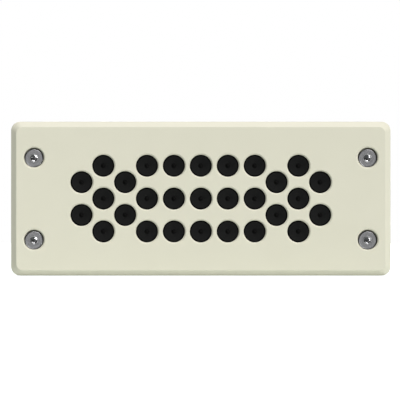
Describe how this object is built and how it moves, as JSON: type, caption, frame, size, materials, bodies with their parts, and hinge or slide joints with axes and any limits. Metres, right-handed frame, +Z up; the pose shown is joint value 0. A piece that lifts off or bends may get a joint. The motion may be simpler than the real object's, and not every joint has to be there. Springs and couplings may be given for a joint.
{
  "type": "cable entry plate",
  "caption": "Rectangular bevelled frame with a staggered field of closed rubber membranes that seal cables, a sealing flange behind and recessed socket screws near its corners.",
  "frame": {"origin": "centre of the screw pattern on the back face that meets the panel", "axes": "front faces -Y, the screws point along +Y into the panel, +X runs along the plate's width, +Z is up"},
  "size_m": [0.148, 0.0205, 0.06],
  "materials": {
    "frame": "cream moulded polyamide, fine matt grain",
    "elastomer": "black elastomer, matt",
    "screw_steel": "bright zinc-plated steel"
  },
  "bodies": {
    "root": {"frame_plate": "frame", "membrane_mat": "elastomer", "screws": "screw_steel"}
  },
  "joints": []
}
